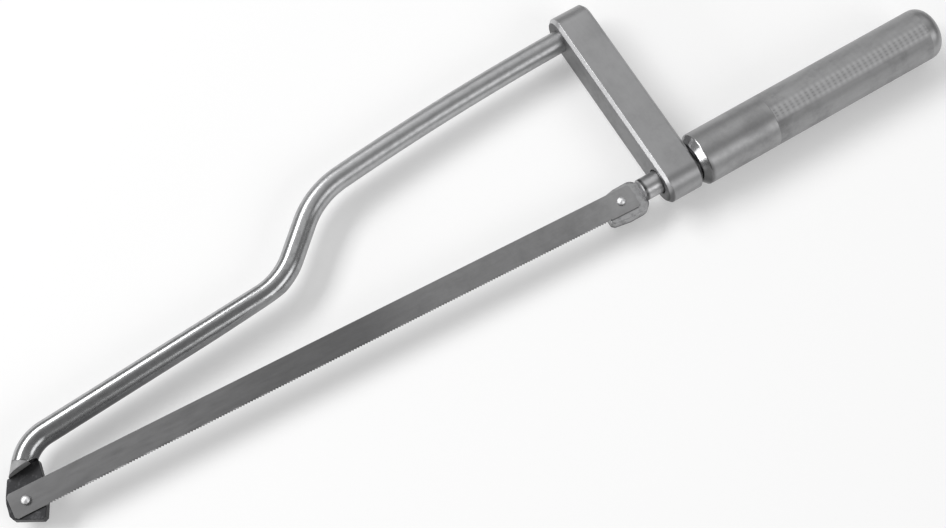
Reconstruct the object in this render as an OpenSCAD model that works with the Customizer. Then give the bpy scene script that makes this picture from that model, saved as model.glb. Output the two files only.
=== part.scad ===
// Hacksaw with a bent rod frame and a turning handle that tensions the blade.
// Millimetres. The saw lies on its side: +X runs from the toe to the handle,
// +Y from the blade to the back of the frame, and +Z out of the frame's plane.
// Inside the modules the zero point is where the draw axis meets the rear blade pin.

/* [Blade] */
// Distance between the two hole centres
blade_holes = 300; // [250:5:350]
// Width from the back edge to the tooth tips
blade_w = 12.3; // [10:0.1:13]
// Thickness of the strip
blade_t = 0.63; // [0.5:0.01:1]
// Length beyond each hole centre
blade_over = 7.2; // [5:0.1:8]
// Cut corners at both ends of the blade
blade_corner = 1.2; // [0.5:0.1:2]
// Plain length without teeth, from each hole centre inwards
blade_plain = 8; // [6:0.5:20]
// Distance from one tooth to the next
tooth_pitch = 1.4; // [1:0.1:2.5]
// Depth of the teeth
tooth_depth = 0.6; // [0.4:0.1:0.8]
// Slope of the blade against the draw axis, in degrees
blade_slope = 2.66; // [1:0.02:4]

/* [Blade pins] */
// Diameter of both blade pins
pin_d = 4; // [3:0.1:4.5]
// Free height of a pin above the blade
pin_rise = 2; // [1.5:0.1:3]
// Room between a pin and the hole around it, on the radius
pin_clearance = 0.1; // [0.05:0.01:0.15]

/* [Frame rod] */
// Diameter of the rod
rod_d = 11.2; // [10:0.1:12]
// How much thinner the rod is in its bends, on the radius
bend_thinning = 0.05; // [0.05:0.01:0.1]
// Bend radius at the toe, to the centre of the rod
toe_bend_r = 18; // [14:0.5:22]
// Angle that the rod turns through at the toe
toe_bend_turn = 52; // [45:1:56]
// Slope of the front run against the draw axis
front_slope = 3.77; // [3:0.01:4.5]
// Bend radius where the front run turns up
lower_bend_r = 34; // [25:0.5:40]
// Slope of the steep run between the two bends
rise_slope = 43.2; // [40:0.1:50]
// Bend radius where the steep run turns into the rear run
upper_bend_r = 45; // [35:0.5:55]
// Slope of the rear run at its front end
rear_slope = 6.5; // [5.5:0.1:7]
// Slope of the rear run at the post
post_slope = 1.3; // [0.5:0.1:2]
// Radius of the slight bow of the rear run
bow_r = 1410; // [1300:10:1500]
// Height of the rod above the draw axis at the post
rod_rise = 87.4; // [80:0.5:100]

/* [Post] */
// Size of the post along the draw axis
post_w = 18.5; // [16:0.5:22]
// Thickness of the post, also the diameter of its round ends
post_t = 20; // [17:0.5:24]
// From the centre of the rod to the top of the post
post_above = 11.5; // [10.5:0.1:14]
// From the draw axis to the bottom of the post
post_below = 12.1; // [11:0.1:14]
// Chamfer on the long edges and round ends of the post
post_chamfer = 1.5; // [0.5:0.1:2.5]
// From the rear blade pin to the front face of the post
post_reach = 20.5; // [18:0.5:30]

/* [Toe block] */
// Half width of the block beside the front pin
toe_half_w = 8.9; // [8:0.1:11]
// Half width of the block near both ends
toe_end_half_w = 7.8; // [7:0.1:8.8]
// From the front pin to the lower end of the block
toe_below = 8.6; // [7.5:0.1:12]
// Slant of the lower end, in degrees
toe_end_slant = 9; // [0:1:15]
// Lean of the block against the post, in degrees
toe_lean = 20.6; // [16:0.1:24]
// Cut corners of the block
toe_corner = 1.5; // [1:0.1:2.5]
// From the front pin to the back edge of the blade seat, along the lean
seat_back = 14.6; // [12:0.1:16]
// Slant of that edge across the lean, in degrees
seat_slant = 26.6; // [15:0.2:30]
// From the front pin to the middle of the rod's end, across the lean
toe_rod_across = 0.3; // [0:0.1:2]
// From the front pin to the middle of the rod's end, along the lean
toe_rod_along = 16.9; // [16:0.1:20]
// Diameter of the tenon that ties block, collar and rod together
tenon_d = 4.4; // [3.5:0.1:4.6]
// Length of the tenon inside the rod
tenon_len = 6; // [4:0.5:7]

/* [Draw bolt] */
// Width of the flat eye
eye_w = 17; // [16:0.1:19]
// How far the eye lies below the draw axis, centre to centre
eye_drop = 1; // [0:0.1:1.5]
// From the rear pin to the toe end of the eye
eye_before = 9.5; // [8.5:0.1:13]
// Narrowing of the eye at its toe end, on each side
eye_taper = 1.4; // [0.5:0.1:2]
// From the rear pin to the shoulder of the eye
eye_after = 11.8; // [10.5:0.1:14]
// Corner radius of the eye's shoulders
eye_round = 5; // [3:0.1:6]
// From the rear pin to the step where the full shank begins
eye_step = 10.7; // [9.5:0.1:12]
// Diameter of the shank
shank_d = 11.2; // [10:0.1:12]
// Diameter of the threaded tail
thread_d = 8; // [6:0.5:9]
// Length of the threaded tail
thread_len = 42; // [34:1:55]
// How far the draw bolt can be let out to free the blade
travel = 4; // [3:0.5:8]

/* [Guide screw] */
// Diameter of the screw that keeps the draw bolt from turning
guide_d = 5; // [4:0.5:6]
// Diameter of its dog point
dog_d = 3; // [2.5:0.1:3.5]
// Depth of the keyway in the shank
keyway_depth = 2; // [1.5:0.1:2.5]
// From the front face of the post to the guide screw
guide_setback = 5.6; // [5:0.1:7]

/* [Handle] */
// Diameter of the handle
handle_d = 26.4; // [24:0.2:30]
// Length of the handle
handle_len = 140.2; // [110:0.2:150]
// Chamfer at the front rim
handle_chamfer = 3.2; // [1:0.1:4]
// Rounding of the rear end
handle_round = 6.3; // [4:0.1:8]
// Gap between post and handle, which holds the thrust washer
handle_gap = 0.8; // [0.6:0.1:2.5]
// Outer diameter of the threaded insert
nut_d = 16; // [14:0.5:17]
// Length of the threaded insert
nut_len = 24; // [18:1:28]
// Outer diameter of the thrust washer
washer_d = 18.8; // [17:0.2:20]

/* [Rod screw] */
// Diameter of the tenon at the rear end of the rod
rod_tenon_d = 8; // [7:0.5:9]
// Depth of the rod's seat in the post
rod_seat = 10; // [8:0.5:12]
// Thread diameter of the screw that holds the rod
screw_d = 5; // [4:0.5:5]
// Head diameter of that screw
screw_head_d = 10; // [9:0.5:11]
// Length of thread that the screw has in the rod
screw_grip = 11; // [8:1:14]

/* [Fits] */
// Room of a running or sliding fit, on the radius
running = 0.08; // [0.03:0.01:0.1]
// Room of a driven or brazed fit, on the radius
seated = 0.02; // [0:0.01:0.02]
// Room at the end of a blind hole or slot
end_room = 0.4; // [0.3:0.1:1]

/* [Hidden] */
$fn = 64;

// Finishes, as red, green and blue
nickel = [0.72, 0.72, 0.73];
satin_steel = [0.60, 0.60, 0.61];
dark_steel = [0.20, 0.20, 0.21];
blade_steel = [0.42, 0.42, 0.43];
pin_steel = [0.85, 0.85, 0.86];
satin_aluminium = [0.64, 0.64, 0.65];

// Seats of the blade are cut down to the middle of the rod
seat_t = rod_d / 2;
over = 1;  // how far a cutter runs past the face it opens
bend_lap = 0.5;  // how far a straight run of the rod reaches into the next bend
tooth_back = 0.75;  // share of the pitch that the slanting back of a tooth takes
dome_r = 0.625 * pin_d;  // radius of the domed end of a blade pin
key_share = 0.6;  // width of a hexagon socket against the thread of its screw

// Blade line: the front pin stands above the draw axis by the blade's slope
front_pin = [-blade_holes * cos(blade_slope), blade_holes * sin(blade_slope)];

// Post and handle along the draw axis
post_x0 = post_reach;
post_x1 = post_x0 + post_w;
handle_x0 = post_x1 + handle_gap;
handle_x1 = handle_x0 + handle_len;
post_end_r = post_t / 2;
post_top = rod_rise + post_above;
guide_x = post_x0 + guide_setback;

// Rod path, from the toe to the post. A bend of radius r from heading a to heading b
// moves the path by bend_step(r, a, b).
function unit(a) = [cos(a), sin(a)];
function lean(p) = [p.x * cos(toe_lean) + p.y * sin(toe_lean),
                    -p.x * sin(toe_lean) + p.y * cos(toe_lean)];
function bend_step(r, a, b) = sign(b - a) * r * [sin(b) - sin(a), cos(a) - cos(b)];
toe_heading = front_slope + toe_bend_turn;
rod_start = front_pin + lean([toe_rod_across, toe_rod_along]);
rod_end = [post_x0, rod_rise];
front_start = rod_start + bend_step(toe_bend_r, toe_heading, front_slope);
lower_step = bend_step(lower_bend_r, front_slope, rise_slope);
upper_step = bend_step(upper_bend_r, rise_slope, rear_slope);
bow_step = bend_step(bow_r, rear_slope, post_slope);

// The front run and the steep run take up what the bends leave between toe and post
reach = rod_end - front_start - lower_step - upper_step - bow_step;
turn_sine = sin(rise_slope - front_slope);
front_len = (reach.x * sin(rise_slope) - reach.y * cos(rise_slope)) / turn_sine;
rise_len = (reach.y * cos(front_slope) - reach.x * sin(front_slope)) / turn_sine;
lower_start = front_start + front_len * unit(front_slope);
rise_start = lower_start + lower_step;
upper_start = rise_start + rise_len * unit(rise_slope);
bow_start = upper_start + upper_step;

// Outline of the toe block in its leaning frame, with the front pin at zero. Its upper end
// is the back edge of the blade seat, where the collar and the rod stand.
end_fall = tan(toe_end_slant);
seat_rise = tan(seat_slant);
toe_outline = [
    [-toe_end_half_w, -toe_below + toe_end_half_w * end_fall + toe_corner],
    [-toe_end_half_w + toe_corner, -toe_below + (toe_end_half_w - toe_corner) * end_fall],
    [toe_end_half_w - toe_corner, -toe_below - (toe_end_half_w - toe_corner) * end_fall],
    [toe_end_half_w, -toe_below - toe_end_half_w * end_fall + toe_corner],
    [toe_half_w, 0],
    [toe_half_w, toe_corner * 2],
    [toe_end_half_w - toe_corner, seat_back + (toe_end_half_w - toe_corner) * seat_rise],
    [-toe_end_half_w, seat_back - toe_end_half_w * seat_rise],
    [-toe_half_w, toe_corner * 2],
    [-toe_half_w, 0],
];
toe_x = min([for (p = toe_outline) (front_pin + lean(p)).x]);

// The part stands on the lowest side of the handle, under the middle of its outline
mid = [(toe_x + handle_x1) / 2, (post_top - handle_d / 2) / 2];

module placed() {
    translate([-mid.x, -mid.y, handle_d / 2]) children();
}

module along_x(x) {
    translate([x, 0, 0]) rotate([0, 90, 0]) children();
}

// A straight run reaches a little into the bends at both ends
module straight(start, heading, length) {
    translate(start) rotate([0, 0, heading])
        along_x(-bend_lap) cylinder(d = rod_d, h = length + 2 * bend_lap);
}

// A bend is drawn a trace thinner than the straight runs
module bend(start, r, from, to) {
    side = sign(to - from);
    translate(start + side * r * [-sin(from), cos(from)])
        rotate([0, 0, side > 0 ? from - 90 : to + 90])
            rotate_extrude(angle = abs(to - from))
                translate([r, 0]) circle(d = rod_d - 2 * bend_thinning);
}

// Places its children on the rod's toe end, with +X pointing out of the rod to the toe
module at_rod_start() {
    translate(rod_start) rotate([0, 0, toe_heading + 180]) children();
}

// The tenon lies in the thickness of the block, below the blade seat
module at_tenon() {
    at_rod_start() translate([0, 0, -seat_t / 2]) children();
}

// Everything on the blade's side of the seat's back edge
module below_seat_back() {
    reach = 4 * toe_half_w;
    translate(front_pin) rotate([0, 0, -toe_lean]) translate([0, seat_back])
        rotate([0, 0, seat_slant]) translate([-reach / 2, -reach, -reach / 2]) cube(reach);
}

module frame_rod() {
    color(nickel) difference() {
        union() {
            bend(rod_start, toe_bend_r, toe_heading, front_slope);
            straight(front_start, front_slope, front_len);
            bend(lower_start, lower_bend_r, front_slope, rise_slope);
            straight(rise_start, rise_slope, rise_len);
            bend(upper_start, upper_bend_r, rise_slope, rear_slope);
            straight(bow_start, rear_slope, 0);
            difference() {
                union() {
                    bend(bow_start, bow_r, rear_slope, post_slope);
                    straight(rod_end, post_slope, over);
                }
                translate([post_x0, rod_rise - rod_d, -rod_d]) cube(2 * rod_d);
            }
            translate([post_x0 - over, rod_rise, 0])
                along_x(0) cylinder(d = rod_tenon_d, h = over + rod_seat - end_room);
        }
        // The toe end is cut off along the back edge of the blade seat
        below_seat_back();
        // Blind hole for the tenon of the toe block
        at_tenon() along_x(-tenon_len - end_room)
            cylinder(d = tenon_d + 2 * seated, h = tenon_len + end_room + over);
        // Tapped hole for the rod screw
        translate([0, rod_rise, 0]) along_x(post_x0 + rod_seat - screw_grip - end_room)
            cylinder(d = screw_d + 2 * seated, h = screw_grip + end_room + over);
    }
}

// One round end of the post, with its chamfered rims, about the axis along X
module post_round(y) {
    translate([post_x0, y, 0]) rotate([0, 90, 0]) rotate_extrude() polygon([
        [0, 0],
        [post_end_r - post_chamfer, 0],
        [post_end_r, post_chamfer],
        [post_end_r, post_w - post_chamfer],
        [post_end_r - post_chamfer, post_w],
        [0, post_w],
    ]);
}

module rear_post() {
    low = -post_below + post_end_r;
    high = post_top - post_end_r;
    head_depth = (screw_head_d - screw_d) / 2;
    color(satin_steel) difference() {
        union() {
            post_round(low);
            post_round(high);
            translate([post_x0, low, 0]) rotate([-90, 0, 0]) linear_extrude(high - low) polygon([
                [0, post_chamfer - post_end_r],
                [post_chamfer, -post_end_r],
                [post_w - post_chamfer, -post_end_r],
                [post_w, post_chamfer - post_end_r],
                [post_w, post_end_r - post_chamfer],
                [post_w - post_chamfer, post_end_r],
                [post_chamfer, post_end_r],
                [0, post_end_r - post_chamfer],
            ]);
        }
        // Bore in which the draw bolt slides
        along_x(post_x0 - over) cylinder(r = shank_d / 2 + running, h = post_w + 2 * over);
        // Blind seat of the rod, and the hole and countersink of its screw
        translate([0, rod_rise, 0]) {
            along_x(post_x0 - over) cylinder(d = rod_tenon_d + 2 * seated, h = over + rod_seat);
            along_x(post_x0) cylinder(d = screw_d + 2 * running, h = post_w + over);
            along_x(post_x1 - head_depth) cylinder(d1 = screw_d, d2 = screw_head_d, h = head_depth);
        }
        // Tapped hole for the guide screw, from the underside into the bore
        translate([guide_x, 0, -post_end_r - over])
            cylinder(d = guide_d + 2 * seated, h = post_end_r + over);
    }
}

module toe_block() {
    color(dark_steel) difference() {
        union() {
            translate([front_pin.x, front_pin.y, -seat_t]) rotate([0, 0, -toe_lean])
                linear_extrude(seat_t) polygon(toe_outline);
            at_tenon() along_x(-tenon_len) cylinder(d = tenon_d, h = tenon_len + toe_half_w);
        }
        translate([front_pin.x, front_pin.y, -seat_t - over])
            cylinder(d = pin_d + 2 * seated, h = seat_t + 2 * over);
    }
}

// Wedge-shaped collar between the square end of the rod and the slanting end of the block
module toe_collar() {
    color(satin_steel) difference() {
        at_rod_start() along_x(0) cylinder(d = rod_d, h = rod_d);
        below_seat_back();
        at_tenon() along_x(-over) cylinder(d = tenon_d + 2 * seated, h = rod_d + 2 * over);
    }
}

// A pin standing in its seat, with a domed free end above the blade
module blade_pin(at) {
    top = blade_t + pin_rise;
    r = pin_d / 2;
    color(pin_steel) translate([at.x, at.y, 0]) rotate_extrude() {
        translate([0, -seat_t]) square([r, seat_t + top - r / 2]);
        intersection() {
            translate([0, top - dome_r]) circle(r = dome_r);
            translate([0, -seat_t]) square([r, seat_t + top]);
        }
    }
}

module front_blade_pin() {
    blade_pin(front_pin);
}

module rear_blade_pin() {
    blade_pin([0, 0]);
}

module blade() {
    half = blade_w / 2;
    corner = blade_corner;
    end = blade_holes + blade_over;
    count = floor((blade_holes - 2 * blade_plain) / tooth_pitch);
    first = (blade_holes - count * tooth_pitch) / 2;
    teeth = [for (i = [0 : count - 1]) each [
        [first + i * tooth_pitch, -half],
        [first + (i + tooth_back) * tooth_pitch, tooth_depth - half],
    ]];
    color(blade_steel) rotate([0, 0, 180 - blade_slope]) mirror([0, 1, 0]) difference() {
        linear_extrude(blade_t) polygon(concat(
            [[-blade_over, corner - half], [corner - blade_over, -half]],
            teeth,
            [
                [first + count * tooth_pitch, -half],
                [end - corner, -half],
                [end, corner - half],
                [end, half - corner],
                [end - corner, half],
                [corner - blade_over, half],
                [-blade_over, half - corner],
            ]
        ));
        for (x = [0, blade_holes]) translate([x, 0, -over])
            cylinder(r = pin_d / 2 + pin_clearance, h = blade_t + 2 * over);
    }
}

// Flat outline of the eye: tapered to the toe, with round shoulders
module eye_outline() {
    half = eye_w / 2;
    narrow = half - eye_taper;
    translate([0, -eye_drop]) {
        polygon([
            [-eye_before, narrow - eye_taper],
            [-eye_before + eye_taper, narrow],
            [0, half],
            [eye_after - eye_round, half],
            [eye_after, half - eye_round],
            [eye_after, eye_round - half],
            [eye_after - eye_round, -half],
            [0, -half],
            [-eye_before + eye_taper, -narrow],
            [-eye_before, eye_taper - narrow],
        ]);
        for (side = [-1, 1]) translate([eye_after - eye_round, side * (half - eye_round)])
            circle(r = eye_round);
    }
}

module draw_bolt() {
    shank_end = post_x1 + handle_gap / 2;
    keyway_w = dog_d + 2 * running;
    keyway_len = travel + 2 * end_room;
    color(satin_steel) difference() {
        union() {
            translate([0, 0, -seat_t]) linear_extrude(seat_t) eye_outline();
            along_x(eye_step) cylinder(d = shank_d, h = shank_end - eye_step);
            along_x(eye_step) cylinder(d = thread_d, h = shank_end - eye_step + thread_len);
        }
        translate([0, 0, -seat_t - over]) cylinder(d = pin_d + 2 * seated, h = seat_t + 2 * over);
        // Keyway in the underside, long enough for the travel
        translate([guide_x - dog_d / 2 - end_room, -keyway_w / 2, -shank_d])
            cube([keyway_len + dog_d, keyway_w, shank_d / 2 + keyway_depth]);
    }
}

module guide_screw() {
    top = -shank_d / 2 - running - end_room;
    key = guide_d * key_share;
    color(dark_steel) translate([guide_x, 0, 0]) difference() {
        union() {
            translate([0, 0, -post_end_r + end_room])
                cylinder(d = guide_d, h = top + post_end_r - end_room);
            translate([0, 0, -post_end_r + over])
                cylinder(d = dog_d, h = post_end_r - over - shank_d / 2 + keyway_depth - end_room);
        }
        translate([0, 0, -post_end_r]) cylinder(d = key, h = key, $fn = 6);
    }
}

module rod_screw() {
    head_depth = (screw_head_d - screw_d) / 2;
    thread_start = post_x0 + rod_seat - screw_grip;
    key = screw_d * key_share;
    color(dark_steel) translate([0, rod_rise, 0]) difference() {
        union() {
            along_x(thread_start) cylinder(d = screw_d, h = post_x1 - thread_start - head_depth);
            along_x(post_x1 - head_depth)
                cylinder(d1 = screw_d, d2 = screw_head_d - 2 * seated, h = head_depth);
        }
        along_x(post_x1 - head_depth) cylinder(d = key, h = head_depth + over, $fn = 6);
    }
}

module thrust_washer() {
    color(dark_steel) along_x(post_x1) difference() {
        cylinder(d = washer_d, h = handle_gap - running);
        translate([0, 0, -over]) cylinder(r = shank_d / 2 + end_room, h = handle_gap + 2 * over);
    }
}

module handle() {
    r = handle_d / 2;
    bore_len = thread_len + handle_gap + end_room;
    color(satin_aluminium) along_x(handle_x0) difference() {
        rotate_extrude() {
            polygon([
                [0, 0],
                [r - handle_chamfer, 0],
                [r, handle_chamfer],
                [r, handle_len - handle_round],
                [r - handle_round, handle_len],
                [0, handle_len],
            ]);
            intersection() {
                translate([r - handle_round, handle_len - handle_round]) circle(r = handle_round);
                square([r, handle_len]);
            }
        }
        translate([0, 0, -over]) cylinder(d = nut_d + 2 * seated, h = nut_len + over);
        translate([0, 0, -over]) cylinder(r = thread_d / 2 + end_room, h = bore_len + over);
        translate([0, 0, bore_len]) cylinder(r1 = thread_d / 2 + end_room, r2 = 0, h = thread_d / 3);
    }
}

module handle_nut() {
    color(satin_steel) along_x(handle_x0) difference() {
        cylinder(d = nut_d, h = nut_len);
        translate([0, 0, -over]) cylinder(r = thread_d / 2 + running, h = nut_len + 2 * over);
    }
}

placed() frame_rod();
placed() rear_post();
placed() toe_block();
placed() toe_collar();
placed() front_blade_pin();
placed() blade();
placed() rear_blade_pin();
placed() draw_bolt();
placed() guide_screw();
placed() rod_screw();
placed() thrust_washer();
placed() handle();
placed() handle_nut();
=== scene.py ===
import math
from functools import partial

import bmesh
import bpy
from bpy.props import FloatProperty, FloatVectorProperty, IntProperty, PointerProperty
from bpy.types import Operator, Panel, PropertyGroup
from mathutils import Matrix, Vector


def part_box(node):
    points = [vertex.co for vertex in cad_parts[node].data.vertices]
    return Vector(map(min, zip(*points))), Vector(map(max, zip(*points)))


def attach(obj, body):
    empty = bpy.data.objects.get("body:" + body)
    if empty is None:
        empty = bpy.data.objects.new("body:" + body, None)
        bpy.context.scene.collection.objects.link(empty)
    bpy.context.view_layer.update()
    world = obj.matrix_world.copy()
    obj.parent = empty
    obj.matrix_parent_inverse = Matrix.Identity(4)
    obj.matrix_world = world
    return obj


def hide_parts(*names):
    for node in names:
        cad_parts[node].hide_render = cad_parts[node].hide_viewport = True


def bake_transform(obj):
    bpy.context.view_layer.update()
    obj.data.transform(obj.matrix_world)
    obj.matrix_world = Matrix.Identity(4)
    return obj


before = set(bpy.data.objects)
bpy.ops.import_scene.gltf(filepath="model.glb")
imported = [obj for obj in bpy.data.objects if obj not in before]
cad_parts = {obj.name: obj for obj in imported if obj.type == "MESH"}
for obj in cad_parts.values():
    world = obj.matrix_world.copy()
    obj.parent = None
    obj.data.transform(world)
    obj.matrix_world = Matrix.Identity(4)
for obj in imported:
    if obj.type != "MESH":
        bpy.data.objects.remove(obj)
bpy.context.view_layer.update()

bl_info = {
    "name": "Hacksaw dressing",
    "version": (1, 0, 0),
    "blender": (4, 5, 0),
    "location": "3D View > Sidebar > Hacksaw",
    "description": "Builds the visible pieces, finishes and stage of a rod-frame hacksaw",
    "category": "Object",
}

MM = 0.001

# Points nearer than this are one point
TOUCHING = 1e-7
QUARTER = math.pi / 2


def middle(node):
    low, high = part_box(node)
    return (low + high) / 2


# Zero of the saw: the rear blade pin, on the axis of the draw bolt
ZERO = Vector((middle("rear_blade_pin").x, middle("handle").y, middle("handle").z))

# Sizes that the solids share and that no setting changes
GUIDE_SETBACK = 5.6 * MM
SCREW_HEAD = 2.5 * MM
INSERT_LENGTH = 24 * MM
INSERT_RADIUS = 8 * MM


# Settings

def length_setting(name, default, description):
    return FloatProperty(name=name, description=description, default=default * MM, min=0.0,
                         unit="LENGTH", subtype="DISTANCE", precision=5)


def angle_setting(name, degrees, description):
    return FloatProperty(name=name, description=description, default=math.radians(degrees),
                         unit="ROTATION", subtype="ANGLE")


def colour_setting(name, default, description):
    return FloatVectorProperty(name=name, description=description, default=default, size=3,
                               subtype="COLOR", min=0.0, max=1.0)


def power_setting(name, default, description):
    return FloatProperty(name=name, description=description, default=default, unit="POWER")


class SawRodSettings(PropertyGroup):
    diameter: length_setting("Rod diameter", 11.2, "Diameter of the bent frame rod")
    toe_bend: length_setting("Toe bend", 18, "Centre-line radius of the bend at the toe")
    lower_bend: length_setting("Lower bend", 34, "Radius where the front run turns up")
    upper_bend: length_setting("Upper bend", 45, "Radius where the rise turns into the rear run")
    bow: length_setting("Bow", 1410, "Radius of the slight bow of the rear run")
    height: length_setting("Height", 87.4, "Height of the rod above the draw axis at the post")
    toe_turn: angle_setting("Toe turn", 52, "Angle that the rod turns through at the toe")
    front_slope: angle_setting("Front slope", 3.77, "Slope of the front run")
    rise_slope: angle_setting("Rise slope", 43.2, "Slope of the steep run")
    rear_slope: angle_setting("Rear slope", 6.5, "Slope of the rear run at its front end")
    post_slope: angle_setting("Post slope", 1.3, "Slope of the rear run at the post")
    sides: IntProperty(name="Sides", description="Faces around the rod", default=64, min=12)
    colour: colour_setting("Rod colour", (0.43, 0.433, 0.438), "Colour of the bright plating")
    satin: colour_setting("Satin colour", (0.46, 0.463, 0.468), "Colour of the worn rear run")
    # Colour of the painted shade under the front run
    underside_shade: colour_setting("Underside shade colour", (0.05, 0.05, 0.052), "Colour of the shade painted under the front run")


class SawPostSettings(PropertyGroup):
    reach: length_setting("Reach", 20.5, "From the rear blade pin to the front of the post")
    width: length_setting("Width", 18.5, "Size of the post along the draw axis")
    thickness: length_setting("Thickness", 20, "Thickness and end diameter of the post")
    above: length_setting("Above", 11.5, "From the rod's centre to the top of the post")
    below: length_setting("Below", 12.1, "From the draw axis to the bottom of the post")
    chamfer: length_setting("Chamfer", 1.5, "Chamfer around both broad rims")
    colour: colour_setting("Post colour", (0.38, 0.38, 0.385), "Colour of the satin steel")


class SawToeSettings(PropertyGroup):
    lean: angle_setting("Lean", 20.6, "Lean of the toe block")
    slant: angle_setting("Slant", 26.6, "Slant of the back edge of the blade seat")
    back: length_setting("Back", 14.6, "From the front pin to the back edge of the seat")
    rim: length_setting("Rim", 0.22, "Rounding of the block's edges")
    colour: colour_setting("Block colour", (0.045, 0.045, 0.047), "Colour of the dark block")
    collar: colour_setting("Collar colour", (0.33, 0.33, 0.334), "Colour of the bare collar")


class SawBladeSettings(PropertyGroup):
    holes: length_setting("Hole spacing", 300, "Distance between the hole centres")
    width: length_setting("Width", 12.3, "Width from the back to the tooth tips")
    thickness: length_setting("Thickness", 0.63, "Thickness of the strip")
    over: length_setting("Overhang", 7.2, "Length beyond each hole centre")
    corner: length_setting("Corner", 1.2, "Cut corners at both ends")
    plain: length_setting("Plain length", 8, "Length without teeth, from each hole inwards")
    pitch: length_setting("Tooth pitch", 1.4, "Distance from tooth to tooth")
    depth: length_setting("Tooth depth", 0.6, "Depth of the teeth")
    slope: angle_setting("Slope", 2.66, "Slope of the blade against the draw axis")
    wave: IntProperty(name="Set wave", description="Teeth in one wave of the set", default=10)
    tilt: angle_setting("Set tilt", 11, "Most that a tooth leans to either side")
    pin: length_setting("Pin diameter", 4, "Diameter of both blade pins")
    pin_rise: length_setting("Pin rise", 2, "Free height of a pin above the blade")
    colour: colour_setting("Blade colour", (0.22, 0.22, 0.222), "Colour of the rolled strip")
    pin_colour: colour_setting("Pin colour", (0.92, 0.92, 0.93), "Colour of the polished pins")


class SawBoltSettings(PropertyGroup):
    shank: length_setting("Shank", 11.2, "Diameter of the draw bolt's shank")
    tail: length_setting("Tail", 8, "Diameter of the threaded tail")
    tail_length: length_setting("Tail length", 42, "Length of the threaded tail")
    pitch: length_setting("Thread pitch", 1.25, "Pitch of the tail's thread")
    rim: length_setting("Rim", 0.6, "Rounding of the eye's edges")
    colour: colour_setting("Bolt colour", (0.40, 0.40, 0.405), "Colour of the plated bolt")
    screw_colour: colour_setting("Screw colour", (0.05, 0.05, 0.052), "Colour of the screws")


class SawHandleSettings(PropertyGroup):
    diameter: length_setting("Diameter", 26.4, "Diameter of the handle")
    length: length_setting("Length", 140.2, "Length of the handle")
    chamfer: length_setting("Chamfer", 3.2, "Chamfer at the front rim")
    gap: length_setting("Gap", 0.8, "Gap between post and handle")
    rounding: length_setting("Rounding", 6.3, "Rounding of the rear end")
    knurl_start: length_setting("Knurl start", 42.1, "From the front face to the knurl")
    knurl_end: length_setting("Knurl end", 132.1, "From the front face to the end of the knurl")
    rib_pitch: length_setting("Rib pitch", 3.04, "Distance from one rib to the next")
    rib_depth: length_setting("Rib depth", 0.08, "Depth between the ribs")
    grooves: IntProperty(name="Grooves", description="Long grooves around", default=54)
    groove_depth: length_setting("Groove depth", 0.07, "Depth of the long grooves")
    turn: angle_setting("Band turn", -14, "Turn of the band in which the knurl is fresh")
    colour: colour_setting("Handle colour", (0.38, 0.38, 0.384), "Colour of the aluminium")


class SawStageSettings(PropertyGroup):
    floor: colour_setting("Floor colour", (0.72, 0.72, 0.72), "Colour of the floor")
    room: colour_setting("Room colour", (0.25, 0.25, 0.25), "Colour of the room's light")
    key: power_setting("Key light", 122.0, "Power of the light behind the saw")
    side: power_setting("Side light", 28.0, "Power of the low light at the toe")
    fill: power_setting("Fill light", 32.0, "Power of the light below the handle")
    top: power_setting("Top light", 22.0, "Power of the light above the post")
    glow: FloatProperty(name="Floor glow", description="White that the floor adds to its light",
                        default=0.28, min=0.0, max=1.0)
    lens: FloatProperty(name="Lens", description="Focal length of the camera in millimetres",
                        default=57.95)


def settings():
    return bpy.context.scene


# Plain shapes

def mm(*points):
    """Points whose numbers are millimetres."""
    return [Vector(point) * MM for point in points]


def saw_point(x, y, z=0.0):
    """A point given from the saw's zero, in metres."""
    return ZERO + Vector((x, y, z))


def unit(angle):
    return Vector((math.cos(angle), math.sin(angle), 0.0))


def fan(sweep, steps):
    """Equal steps from nought to an angle."""
    return [sweep * k / steps for k in range(steps + 1)]


def rounded(points, radius, steps=4, closed=True):
    """Replaces each corner of a flat outline by an arc."""
    out = []
    count = len(points)
    nearly_straight = math.radians(176)
    for i, point in enumerate(points):
        here = Vector(point)
        before = Vector(points[i - 1]) - here
        after = Vector(points[(i + 1) % count]) - here
        open_end = not closed and i in (0, count - 1)
        if open_end or before.angle(after) > nearly_straight:
            out.append(here)
            continue
        # Less than half of the shorter side, so that neighbouring arcs stay apart
        most = min(before.length, after.length) * 0.45
        setback = min(radius / math.tan(before.angle(after) / 2), most)
        start = here + before.normalized() * setback
        end = here + after.normalized() * setback
        out += [(1 - t) ** 2 * start + 2 * t * (1 - t) * here + t ** 2 * end
                for t in fan(1, steps)]
    return out


def inset(outline, amount):
    """Moves a closed anticlockwise outline inwards."""
    out = []
    least_share = 0.35
    for i, here in enumerate(outline):
        along = (here - outline[i - 1]).normalized()
        onward = (outline[(i + 1) % len(outline)] - here).normalized()
        inward = Vector((-along.y - onward.y, along.x + onward.x)).normalized()
        share = max(least_share, inward.dot(Vector((-along.y, along.x))))
        out.append(here + inward * (amount / share))
    return out


def loft(rings, loops=False):
    """Joins rings of equal count with quads, and caps the ends or joins them too."""
    mesh = bmesh.new()
    rows = [[mesh.verts.new(point) for point in ring] for ring in rings]
    for low, high in list(zip(rows, rows[1:])) + ([(rows[-1], rows[0])] if loops else []):
        for i in range(len(low)):
            k = (i + 1) % len(low)
            mesh.faces.new((low[i], low[k], high[k], high[i]))
    if not loops:
        mesh.faces.new(reversed(rows[0]))
        mesh.faces.new(rows[-1])
    bmesh.ops.remove_doubles(mesh, verts=mesh.verts, dist=TOUCHING)
    bmesh.ops.recalc_face_normals(mesh, faces=mesh.faces)
    return mesh


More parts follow.
